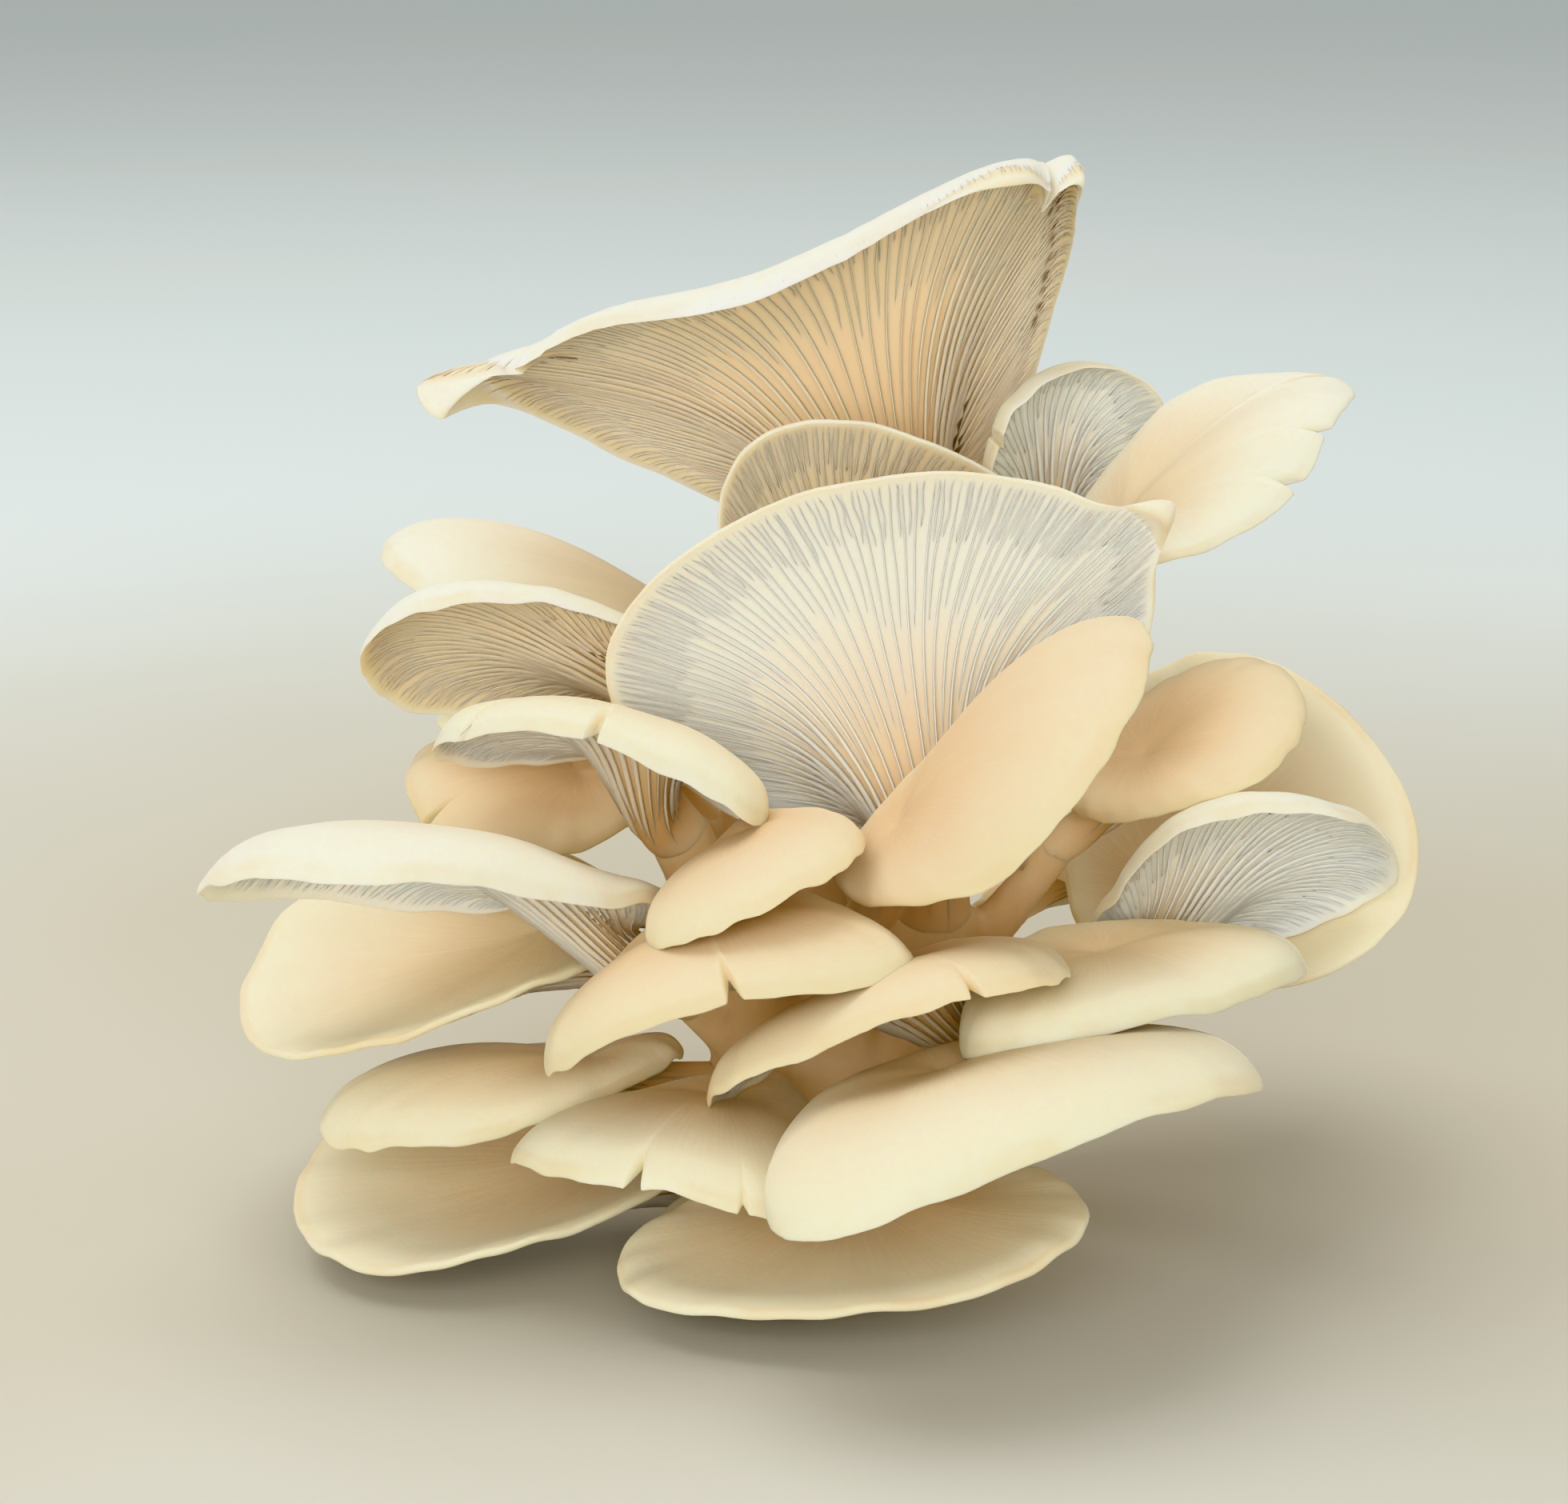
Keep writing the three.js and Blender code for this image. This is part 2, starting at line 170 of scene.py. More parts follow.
def merged_surface(node):
    """The corners and triangles of a CAD node. Corners of loose triangles that round to the same place are one."""
    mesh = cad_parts[node].data
    places = np.empty(3 * len(mesh.vertices))
    mesh.vertices.foreach_get("co", places)
    triangles = np.empty(3 * len(mesh.polygons), dtype=np.int64)
    mesh.polygons.foreach_get("vertices", triangles)
    places = places.reshape(-1, 3)
    grid = np.round(places / MERGE_DISTANCE).astype(np.int64)
    _, first, merged = np.unique(grid, axis=0, return_index=True, return_inverse=True)
    return places[first], merged.ravel()[triangles].reshape(-1, 3)


def steps_from(top, corners, count):
    """How many edges lead from the top corner to each corner: every round reaches the next ring at once."""
    steps = np.full(count, -1)
    steps[top] = 0
    for step in range(FOOT_RING + 2):
        reached = corners[steps[corners[:, 0]] == step, 1:].ravel()
        steps[reached[steps[reached] < 0]] = step + 1
    return steps


def read_rings(points, triangles):
    """The top point of the cage, then its rings of sixteen corners from the cap's middle down to the foot. Each
    corner knows the next one round its ring and the one below. The first ring comes from doubling: one corner
    gives two, two give four, and so on to sixteen."""
    corners = np.concatenate([np.roll(triangles, -turn, axis=1) for turn in range(3)])
    poles = np.flatnonzero(np.bincount(triangles.ravel()) == RIBS)
    round_poles = [corners[corners[:, 0] == pole] for pole in poles]
    spread = [np.linalg.norm(points[fan[:, 1]] - points[fan[0, 0]], axis=1).mean() for fan in round_poles]
    fan = round_poles[int(np.argmax(spread))]
    top = fan[0, 0]
    following = np.arange(len(points))
    following[fan[:, 1]] = fan[:, 2]
    steps = steps_from(top, corners, len(points))
    first, second, third = corners.T
    downwards = (steps[second] == steps[first] + 1) & (steps[third] == steps[first] + 1) & (first != top)
    below = np.arange(len(points))
    below[first[downwards]] = second[downwards]
    ring = fan[:1, 1]
    while len(ring) < RIBS:
        ring = np.concatenate([ring, following[ring]])
        following = following[following]
    rings = [ring]
    while len(rings) <= FOOT_RING:
        rings.append(below[rings[-1]])
    return points[top], points[np.array(rings)]


def eased(lower):
    """The underside's rings, with the ribs that run back to the heel drawn out towards a straight line from the rim
    to the neck. There the flesh flares into the stem, and a rib that hugged the cap would crease beside it."""
    heading = 2 * np.pi * np.arange(RIBS) / RIBS
    hug = 1 - ((1 - np.cos(heading)) / 2) ** 2
    rim, neck = lower[0], lower[NECK_RING - UNDER_RIM_RING]
    for ring in (1, 2):
        straight = rim + (neck - rim) * ring / 3
        lower[ring] = straight + (lower[ring] - straight) * hug[:, None]
    return lower


class Cage:
    """One mushroom's ribs. Rib 0 runs to the tip of the cap and rib 8 to its heel."""

    def __init__(self, node):
        self.node = node
        top, rings = read_rings(*merged_surface(node))
        neck = rings[NECK_RING].mean(axis=0)
        heel = int(np.argmin(np.linalg.norm(rings[RIM_RING] - neck, axis=1)))
        rings = np.roll(rings, RIBS // 2 - heel, axis=1)
        self.upper = np.concatenate([np.broadcast_to(top, (1, RIBS, 3)), rings[: RIM_RING + 1]])
        self.lower = eased(rings[UNDER_RIM_RING:])
        rise = (rings[RIM_RING] - rings[UNDER_RIM_RING]).mean(axis=0)
        self.up = rise / np.linalg.norm(rise)
        steps = np.linalg.norm(np.diff(self.lower, axis=0), axis=2).mean(axis=1)
        self.knots = np.concatenate([[0.0], np.cumsum(steps)]) / steps.sum()
        self.neck_share = self.knots[NECK_RING - UNDER_RIM_RING]
        self.stem_radius = np.linalg.norm(rings[NECK_RING] - neck, axis=1).mean()
        self.seed = mushroom_nodes.index(node)
        self.noise = np.random.default_rng(self.seed)


cages = {node: Cage(node) for node in mushroom_nodes}
print("stem radii, mm:", {name: round(cage.stem_radius / MM, 1) for name, cage in cages.items()})

# %% [markdown]
# ## Smooth surfaces through the cage
# Round the cap, sixteen ribs are a periodic signal, so their Fourier series gives a smooth ring that passes exactly
# through each rib. Along a rib, the upper skin is the one cubic through its four corners, and the underside is a
# natural cubic spline that flows from the rim, past the neck and down the stem, as the gills do.


# %% Surfaces
def rib_weights(angles):
    """How much each rib counts at an angle: 1 + 2 cos(x) + 2 cos(2x) + ... + cos(8x), over 16, at x from the rib."""
    away = np.asarray(angles)[..., None] - 2 * np.pi * np.arange(RIBS) / RIBS
    waves = sum(2 * np.cos(k * away) for k in range(1, RIBS // 2))
    return (1 + waves + np.cos(RIBS / 2 * away)) / RIBS


def cubic_weights(shares):
    """How much each of the four stations counts on the one cubic through them (Lagrange's formula)."""
    shares = np.asarray(shares)[..., None]
    weights = []
    for i, station in enumerate(UPPER_STATIONS):
        others = np.delete(UPPER_STATIONS, i)
        weights.append(np.prod((shares - others) / (station - others), axis=-1))
    return np.stack(weights, axis=-1)


def spline_weights(knots, places):
    """How much each knot counts on the natural cubic spline through them: its bending comes from a linear system."""
    count = len(knots)
    gaps = np.diff(knots)
    bending = np.eye(count)
    pull = np.zeros((count, count))
    for i in range(1, count - 1):
        bending[i, i - 1 : i + 2] = gaps[i - 1], 2 * (gaps[i - 1] + gaps[i]), gaps[i]
        pull[i, i - 1 : i + 2] = 6 / gaps[i - 1], -6 / gaps[i - 1] - 6 / gaps[i], 6 / gaps[i]
    curve = np.linalg.solve(bending, pull)
    span = np.asarray(np.clip(np.searchsorted(knots, places, side="right") - 1, 0, count - 2))
    gap = gaps[span][..., None]
    left = (knots[span + 1][..., None] - np.asarray(places)[..., None]) / gap
    right = 1 - left
    straight = left * np.eye(count)[span] + right * np.eye(count)[span + 1]
    return straight + ((left**3 - left) * curve[span] + (right**3 - right) * curve[span + 1]) * gap**2 / 6


def gather(along, round_cap, rings):
    """Points from weights along the ribs, weights round the cap, and the cage's rings."""
    return np.einsum("...k,...j,kjc->...c", along, round_cap, rings)


def wavy(angles, seed, orders):
    """A smooth closed wobble between about -1 and 1: a few cosines with seeded phases."""
    draw = np.random.default_rng(seed)
    phases = draw.uniform(0, 2 * np.pi, len(orders))
    sizes = draw.uniform(0.5, 1.0, len(orders))
    total = sum(size * np.cos(k * angles + phase) for k, phase, size in zip(orders, phases, sizes))
    return total / sizes.sum()


print("weights round the cap add up to", round(float(rib_weights(1.0).sum()), 6))

# %% [markdown]
# ## What makes each cap its own
# The caps share one way of growing, but age and crowding mark them. Young ones are darker and smooth, old ones
# pale with ruffled, torn margins. Each entry lists the splits in the margin as (angle from the tip, half width,
# depth as a share of the rib) and its lobes in the same way, which stand out instead. Then come how far the margin
# ruffles in millimetres, how many degrees its lip rolls over, how large its teeth are, and its tone.

# %% Character of each cap
PLAIN = {"splits": [], "lobes": [], "ruffle": 0.8, "lip": 30, "teeth": 1.0, "tone": "cream"}
CHARACTER = {
    # crown_fan, crown_under_leaf and left_under_shell take gills painted darker gold, as painted shade where their
    # undersides hang in shadow
    "crown_fan": {
        "splits": [(63, 2, 0.08), (-50, 2, 0.05)],
        "lobes": [(-64, 11, 0.20), (44, 12, 0.10), (74, 7, 0.08)],
        "ruffle": 4.6,
        "teeth": 2.5,
        "lip": 100,
        "tone": "shaded_gold_gills",
    },
    "crown_under_leaf": {"tone": "shaded_gold_gills", "lip": 15},
    "centre_fan": {"lobes": [(66, 9, 0.16)], "ruffle": 2.4, "lip": 22, "tone": "ivory"},
    "upper_right_roll": {"splits": [(-60, 3, 0.14)], "lip": 75, "tone": "ivory"},
    "right_wing": {"splits": [(18, 5, 0.28), (-40, 3, 0.10), (-62, 3, 0.10)], "ruffle": 1.4, "tone": "ivory"},
    "left_high_leaf": {"tone": "ivory"},
    "left_under_shell": {"tone": "shaded_gold_gills", "lip": 70},
    "left_mid_hood": {"splits": [(-34, 2, 0.15), (8, 2, 0.17)], "lip": 80},
    "left_mid_droop": {"splits": [(28, 2.5, 0.16)], "tone": "tan"},
    "left_big_shelf": {"ruffle": 1.2, "lip": 60, "tone": "ivory"},
    "front_low_leaf": {"splits": [(6, 2.5, 0.17), (40, 2, 0.06)]},
    "front_hood": {"splits": [(8, 2, 0.20)], "lip": 55, "tone": "tan"},
    "centre_leaf": {"tone": "tan"},
    "right_tongue": {"tone": "tan", "ruffle": 1.2},
    "front_tongue": {"splits": [(38, 2, 0.10)], "teeth": 3.0, "tone": "tan"},
    "right_shell": {"lip": 55, "tone": "ivory"},
    "right_back_leaf": {"tone": "tan"},
    "right_low_hood": {"splits": [(58, 3, 0.10)], "lip": 60},
    "long_front_wing": {"splits": [(62, 3, 0.12)], "lip": 60},
}
MARGIN_WOBBLE = 0.012
MARGIN_TOOTH = 0.004
UNDULATION = 0.35
CRIMP = 0.45
LIP_START = 0.84
TIGHTEST_ROLL = 4.0 * MM


def character(node):
    """The marks of a cap, over those that all caps share."""
    return {**PLAIN, **CHARACTER.get(node, {})}


def apart(angles, degrees):
    """How far angles lie from a direction in degrees, the shorter way round."""
    return np.abs((angles - math.radians(degrees) + np.pi) % (2 * np.pi) - np.pi)


def nibbled(cage, angles):
    """How far the margin falls short of the full rib: slow wobble, fine teeth, a V at each split, less each lobe."""
    slow = 0.5 + 0.5 * wavy(angles, cage.seed + 100, [5, 7, 9, 13])
    fine = 0.5 + 0.5 * wavy(angles, cage.seed + 200, [31, 43, 57, 71, 89])
    loss = MARGIN_WOBBLE * slow + MARGIN_TOOTH * character(cage.node)["teeth"] * fine
    for angle, half_width, depth in character(cage.node)["splits"]:
        loss = loss + depth * np.clip(1 - apart(angles, angle) / math.radians(half_width), 0, 1)
    for angle, half_width, stretch in character(cage.node)["lobes"]:
        loss = loss - stretch * np.exp(-((apart(angles, angle) / math.radians(half_width)) ** 2))
    return loss


def rolled(cage, ray, angles):
    """The move that bends the last stretch of each rib downwards along an arc. A stretch of length L that turns
    through the angle A has the radius L / A, and at a length s along it the rib has turned through s / radius.
    Short ribs turn less, because a bend tighter than the flesh is thick would fold it into itself."""
    marks = character(cage.node)
    ribs = gather(cubic_weights(1.0), rib_weights(angles), cage.upper) - cage.upper[0, 0]
    length = np.linalg.norm(ribs, axis=-1)
    out = ribs / length[..., None]
    patchy = 0.75 + 0.25 * wavy(angles, cage.seed + 500, [1, 2, 3, 5])
    turn = np.minimum(math.radians(marks["lip"]) * patchy, (1 - LIP_START) * length / TIGHTEST_ROLL)
    radius = (1 - LIP_START) * length / turn
    gone = np.clip(ray - LIP_START, 0, 1) * length
    turned = gone / radius
    inwards = radius * np.sin(turned) - gone
    down = radius * (1 - np.cos(turned))
    return inwards[..., None] * out - down[..., None] * cage.up


def relief(cage, ray, angles):
    """How far the flesh is moved from the cage: ruffles that grow towards the rim and soft waves inside it, both
    along the cap's up direction, and the rolled lip. ray runs from 0 in the cap's middle to 1 at its rim."""
    marks = character(cage.node)
    ruffle = marks["ruffle"] * ray**3 * wavy(angles, cage.seed + 300, [3, 4, 5, 7])
    crimp = CRIMP * ray**6 * wavy(angles, cage.seed + 600, [11, 14, 17, 23])
    soft = UNDULATION * np.sin(np.pi * ray) * wavy(angles, cage.seed + 400, [2, 3, 5])
    return (ruffle + crimp + soft)[..., None] * MM * cage.up + rolled(cage, ray, angles)


def upper_skin(cage, ray, angles):
    """The upper skin: the cubic along each rib, drawn short where the margin is nibbled, plus the relief."""
    along = cubic_weights(ray * (1 - nibbled(cage, angles)))
    return gather(along, rib_weights(angles), cage.upper) + relief(cage, ray, angles)


def underside(cage, share, angles):
    """The underside and stem, from 0 at the rim, past the neck, to 1 at the foot, with the same marks."""
    loss = nibbled(cage, angles) * cage.neck_share
    along = spline_weights(cage.knots, loss + share * (1 - loss))
    ray = np.clip(1 - share / cage.neck_share, 0, 1)
    return gather(along, rib_weights(angles), cage.lower) + relief(cage, ray, angles)


def unit(vectors):
    """Vectors of length 1 in the same directions."""
    return vectors / np.maximum(np.linalg.norm(vectors, axis=-1, keepdims=True), NEARLY_NOTHING)


def sideways(cage, share, angles):
    """A small step round the underside, from one side of a place to the other."""
    return underside(cage, share, angles + SMALL_STEP) - underside(cage, share, angles - SMALL_STEP)


def outward(cage, share, angles):
    """The underside's own normal, from two small steps over it."""
    before, after = np.clip(share - SMALL_STEP, 0, 1), np.clip(share + SMALL_STEP, 0, 1)
    along = underside(cage, after, angles) - underside(cage, before, angles)
    return unit(np.cross(along, sideways(cage, share, angles)))


# %% [markdown]
# ## Flesh
# The flesh is one closed skin: over the cap, round the thin margin, back along the underside and into the trunk.
# Under the cap it is sunk by a part of the gills' height, so that the gills stand half in and half out of the cage.

# %% Flesh
ANGLES_ROUND = 176
UPPER_ROWS = 26
FOLD_ROWS = 6
UNDER_ROWS = 34
ROOT_LENGTH = 6 * MM
GILL_PLACES = np.array([0.0, 0.05, 0.3, 0.65, 1.0, 1.2, 1.3])
GILL_HEIGHTS = np.array([0.0, 0.25, 0.6, 1.1, 1.0, 0.3, 0.0]) * MM
SUNK_SHARE = 0.35
LONG_RIB = 26 * MM
SHORT_RIB_SHARE = 0.1
HEEL_COSINE = -0.85
HEEL_FADE = 0.5
HEEL_SHARE = 0.05
FLOOR_CONTACT = 0.05 * MM
ROOT_TAPER = 0.12
FOLD_PLACE, UNDER_PLACE, ROOT_PLACES = 1.02, 1.05, (3.0, 3.1, 3.2)


def gill_height(cage, share, angles):
    """How high the gills stand: most beside the neck, none at the rim or low down, and less on the short ribs that
    run to the heel, where the flesh is thin."""
    rim = gather(spline_weights(cage.knots, 0.0), rib_weights(angles), cage.lower)
    neck = gather(spline_weights(cage.knots, cage.neck_share), rib_weights(angles), cage.lower)
    long = np.clip(np.linalg.norm(rim - neck, axis=-1) / LONG_RIB, SHORT_RIB_SHARE, 1)
    front = np.clip((np.cos(angles) - HEEL_COSINE) / HEEL_FADE, HEEL_SHARE, 1)
    return np.interp(share / cage.neck_share, GILL_PLACES, GILL_HEIGHTS) * long * front


def angle_samples(cage):
    """Angles round the cap, crowded where the margin is split so that the splits come out sharp."""
    even = np.linspace(-np.pi, np.pi, 2001)
    crowd = np.ones_like(even)
    for angle, half_width, _ in character(cage.node)["splits"]:
        crowd += 5 * np.exp(-(((even - math.radians(angle)) / math.radians(1.5 * half_width)) ** 2))
    total = np.concatenate([[0.0], np.cumsum((crowd[1:] + crowd[:-1]) / 2)])
    return np.interp(np.arange(ANGLES_ROUND) / ANGLES_ROUND * total[-1], total, even)


def flesh_rows(cage):
    """All rows of the flesh from the cap's middle to the root, and each row's place on the ray: 0 to 1 above, 1 to 2
    below, and on down the stem."""
    angles = angle_samples(cage)
    ray = (np.arange(1, UPPER_ROWS + 1) / UPPER_ROWS) ** 0.8
    above = upper_skin(cage, ray[:, None], angles[None, :])
    share = np.linspace(0, 1, UNDER_ROWS) ** 1.15
    below = underside(cage, share[:, None], angles[None, :])
    normal = outward(cage, np.broadcast_to(share[:, None], below.shape[:2]), angles[None, :])
    below = below - normal * SUNK_SHARE * gill_height(cage, share[:, None], angles[None, :])[..., None]
    top, bottom = above[-1], below[0]
    out = unit(above[-1] - above[-2])
    turn = np.pi * np.arange(1, FOLD_ROWS) / FOLD_ROWS
    half = (top - bottom) / 2
    radius = np.linalg.norm(half, axis=-1, keepdims=True)
    fold = (top + bottom) / 2 + np.cos(turn)[:, None, None] * half + np.sin(turn)[:, None, None] * radius * out
    down = below[-1].mean(axis=0) - below[-4].mean(axis=0)
    down /= np.linalg.norm(down)
    centre = below[-1].mean(axis=0)
    spokes = below[-1] - centre
    roots = [centre + spokes * (1 - ROOT_TAPER * k) + down * ROOT_LENGTH * k / 3 for k in (1, 2, 3)]
    rows = np.concatenate([above, fold, below, np.array(roots)])
    rows[..., 2] = np.maximum(rows[..., 2], FLOOR_CONTACT)
    below_places = UNDER_PLACE + share / cage.neck_share
    places = np.concatenate([ray, np.full(len(fold), FOLD_PLACE), below_places, ROOT_PLACES])
    return rows, places, angles


def grid_faces(rows, columns, first=0):
    """Quads between neighbouring rows of a grid that closes on itself from its last column to its first."""
    row, column = np.meshgrid(np.arange(rows - 1), np.arange(columns), indexing="ij")
    after = (column + 1) % columns
    this, following = row * columns, (row + 1) * columns
    corners = [this + column, following + column, following + after, this + after]
    return first + np.stack(corners, axis=-1).reshape(-1, 4)


def end_fans(rows, columns, first=0):
    """Triangles that close both ends of such a grid. The two end points follow the grid's own."""
    around = np.arange(columns)
    after = (around + 1) % columns
    low = (rows - 1) * columns
    pole = np.full(columns, rows * columns)
    top_fan = np.stack([pole, around, after], axis=-1)
    foot_fan = np.stack([pole + 1, low + after, low + around], axis=-1)
    return [first + top_fan, first + foot_fan]


def flesh(cage):
    """Points, faces and rib coordinates of a mushroom's closed flesh, with a point at either end."""
    rows, places, angles = flesh_rows(cage)
    count, columns = rows.shape[:2]
    ends = [cage.upper[0, 0], rows[-1].mean(axis=0)]
    points = np.concatenate([rows.reshape(-1, 3), ends])
    faces = [grid_faces(count, columns), *end_fans(count, columns)]
    rib = np.empty((count, columns, 3))
    rib[..., 0] = np.cos(angles)
    rib[..., 1] = np.sin(angles)
    rib[..., 2] = places[:, None]
    end_ribs = np.array([[0, 0, 0], [0, 0, places[-1]]])
    return points, faces, np.concatenate([rib.reshape(-1, 3), end_ribs])


# %% [markdown]
# ## Gills
# Oyster gills run from the rim right down onto the stem. There is no room for all of them at the neck, so between
# each pair of full gills lie shorter ones that stop part of the way, in tiers. Each gill is a thin closed wedge
# whose base is buried in the flesh and whose free edge wanders a little.

# %% Gills
GILL_SPACING_AT_NECK = 1.15 * MM
FEWEST_FULL_GILLS = 12
GILL_HALF_THICKNESS = 0.19 * MM
GILL_START = 0.015
GILL_ROOT = 0.2 * MM
GILL_WAVER = 0.12 * MM
# where each tier lies between two full gills, how far it runs as a share of the way to the neck, and its steps
TIERS = [((0.0,), 1.16, 26), ((0.5,), 0.72, 15), ((0.25, 0.75), 0.46, 11), ((0.125, 0.375, 0.625, 0.875), 0.24, 7)]


def full_gills(cage):
    """How many gills run the whole way: as many as there is room for round the neck."""
    return max(FEWEST_FULL_GILLS, round(2 * np.pi * cage.stem_radius / GILL_SPACING_AT_NECK))


def gill_tier(cage, offsets, run, steps):
    """One tier of gills. Along each, the section is a wedge: two base points sunk in the flesh and a free edge."""
    full = full_gills(cage)
    starts = (np.arange(full)[:, None] + np.array(offsets)[None, :]).ravel() * 2 * np.pi / full
    count = len(starts)
    draw = cage.noise
    length = run * draw.uniform(0.85, 1.1, count) * cage.neck_share
    walk = np.linspace(0, 1, steps)
    share = GILL_START + walk[None, :] * (length[:, None] - GILL_START)
    wander = draw.uniform(-1, 1, (count, 1)) * np.sin(walk * np.pi * 3 + draw.uniform(0, 6, (count, 1)))
    angles = starts[:, None] + (draw.uniform(-0.12, 0.12, (count, 1)) + 0.10 * wander) / full * 2
    surface = underside(cage, share, angles)
    normal = outward(cage, share, angles)
    aside = unit(sideways(cage, share, angles))
    height = gill_height(cage, share, angles)[..., None]
    ends = np.clip(np.minimum(walk, 1 - walk) * 6, 0, 1)[None, :, None]
    waver = GILL_WAVER * draw.uniform(-1, 1, (count, steps, 1))
    proud = (1 - SUNK_SHARE) * height + waver * np.clip(height / MM, 0, 1)
    depth = SUNK_SHARE * height + GILL_ROOT
    free = surface + normal * (proud * ends - depth * (1 - ends))
    base = surface - normal * depth
    free[..., 2] = np.maximum(free[..., 2], FLOOR_CONTACT)
    half = aside * GILL_HALF_THICKNESS * (0.35 + 0.65 * ends)
    points = np.stack([base - half, free, base + half], axis=2)
    return points, share, angles


def gills(cage, first):
    """Points, faces and rib coordinates of every gill of a mushroom."""
    all_points, all_faces, all_ribs = [], [], []
    for offsets, run, steps in TIERS:
        points, share, angles = gill_tier(cage, offsets, run, steps)
        count = len(points)
        start = first + 3 * steps * np.arange(count)[:, None]
        side = grid_faces(steps, 3)
        all_faces.append((start[..., None] + side[None]).reshape(-1, 4))
        low = np.array([[2, 1, 0]])
        high = np.array([[0, 1, 2]]) + 3 * (steps - 1)
        for end in (low, high):
            all_faces.append((start[..., None] + end[None]).reshape(-1, 3))
        rib = np.empty(points.shape)
        rib[..., 0] = np.cos(angles)[..., None]
        rib[..., 1] = np.sin(angles)[..., None]
        rib[..., 2] = (UNDER_PLACE + share / cage.neck_share)[..., None]
        all_points.append(points.reshape(-1, 3))
        all_ribs.append(rib.reshape(-1, 3))
        first += 3 * steps * count
    return np.concatenate(all_points), all_faces, np.concatenate(all_ribs)


gills_per_full_gill = sum(len(offsets) for offsets, _, _ in TIERS)
gill_counts = [gills_per_full_gill * full_gills(cage) for cage in cages.values()]
print("gills in all:", sum(gill_counts), "fewest:", min(gill_counts), "most:", max(gill_counts))


# %% [markdown]
# ## Finishes
# Mushroom flesh is wet and translucent: light goes in, spreads a few millimetres and comes out warm. So both
# finishes lean on subsurface scattering, and the colours carry the pigment, tan in the middle of the cap and ivory
# at the margin, with a faint grain that follows the ribs. Below the caps they also carry painted shade: the
# underside and gills darken to a deep tan towards the neck, and gills that hang in shadow are painted darker gold.

# %% Finishes
TONES = {
    "ivory": {"middle": (0.80, 0.67, 0.46), "rim": (0.92, 0.87, 0.72), "gill": (0.95, 0.92, 0.80)},
    "cream": {"middle": (0.78, 0.61, 0.38), "rim": (0.90, 0.81, 0.60), "gill": (0.93, 0.86, 0.71)},
    "tan": {"middle": (0.72, 0.51, 0.30), "rim": (0.86, 0.71, 0.48), "gill": (0.90, 0.80, 0.62)},
    # painted shade: a darker gold gill colour for caps whose undersides hang in shadow, laid over a real tan-gold
    "shaded_gold_gills": {"middle": (0.82, 0.69, 0.47), "rim": (0.95, 0.90, 0.76), "gill": (0.89, 0.75, 0.52)},
}
STEM_COLOUR = (0.82, 0.62, 0.38)
# a deep tan: painted shade under the caps towards the neck, and a real mottling on the trunk
DEEP_TAN_AND_SHADE = (0.70, 0.45, 0.23)
MARGIN_COLOUR = (0.78, 0.59, 0.34)
# where each change of colour begins and ends along a rib: 0 in the cap's middle, 1 at its rim, about 2 at the neck
PALING = (0.25, 1.0)
MARGIN_START, MARGIN_END = (0.955, 1.0), (1.03, 1.06)
TURN_UNDER = (1.03, 1.08)
# painted shade deepens under the cap from here to the neck
NECK_SHADE_DEEPENING = (1.3, 2.0)
# the gills warm towards the neck: partly the stem's real tan, partly painted shade under the cap
GILL_WARMTH_AND_SHADE = (1.5, 2.2)
STEM_START = (2.1, 2.5)
FLESH_SETTINGS = {
    "Subsurface_Weight": 0.5,
    "Subsurface_Radius": (1.0, 0.55, 0.28),
    "Subsurface_Scale": 0.003,
    "Specular_IOR_Level": 0.32,
}


def mushroom_finish(name):
    """A flesh finish with the rib coordinates, how far along its rib a place is, and where it is in space."""
    finish = Finish(name, **FLESH_SETTINGS)
    rib = finish.node("ShaderNodeAttribute", {"attribute_name": "rib"}, output="Vector")
    place = finish.node("ShaderNodeSeparateXYZ", {}, {0: rib}, output="Z")
    return finish, rib, place, finish.node("ShaderNodeTexCoord", output="Object")


def flesh_finish(tone):
    """Satin skin: tan in the middle, paling to the rim, white below and darkening to painted shade towards the neck,
    and cream on the stem.
    """
    colours = TONES[tone]
    finish, rib, place, spot = mushroom_finish("skin_" + tone)
    grain_place = finish.node("ShaderNodeVectorMath", {"operation": "MULTIPLY"}, {0: rib, 1: (30.0, 30.0, 3.0)})
    grain = finish.noise(grain_place, 1.0, 4.0)
    clouds = finish.noise(spot, 60.0, 3.0)
    fade = (place + 0.28 * (clouds - 0.5)).between(*PALING)
    skin = finish.blend(fade, colours["middle"], colours["rim"])
    skin = finish.blend(0.30 * grain.between(0.45, 0.75), skin, colours["rim"])
    # painted shade: the underside darkens to deep tan towards the neck, where the cap shades it
    below = finish.blend(place.between(*NECK_SHADE_DEEPENING), colours["gill"], DEEP_TAN_AND_SHADE)
    stem = finish.blend(0.5 * clouds, STEM_COLOUR, colours["rim"])
    below = finish.blend(place.between(*STEM_START), below, stem)
    margin = place.between(*MARGIN_START) * (1 - place.between(*MARGIN_END))
    skin = finish.blend(0.45 * margin * clouds.between(0.35, 0.65), skin, MARGIN_COLOUR)
    finish.feed(Base_Color=finish.blend(place.between(*TURN_UNDER), skin, below))
    finish.feed(Roughness=0.42 + 0.2 * clouds)
    height = 0.6 * grain + 0.4 * finish.noise(spot, 900.0, 2.0)
    bump = finish.node("ShaderNodeBump", {}, {"Strength": 0.25, "Distance": 0.0003, "Height": height})
    finish.feed(Normal=bump)
    return finish.material


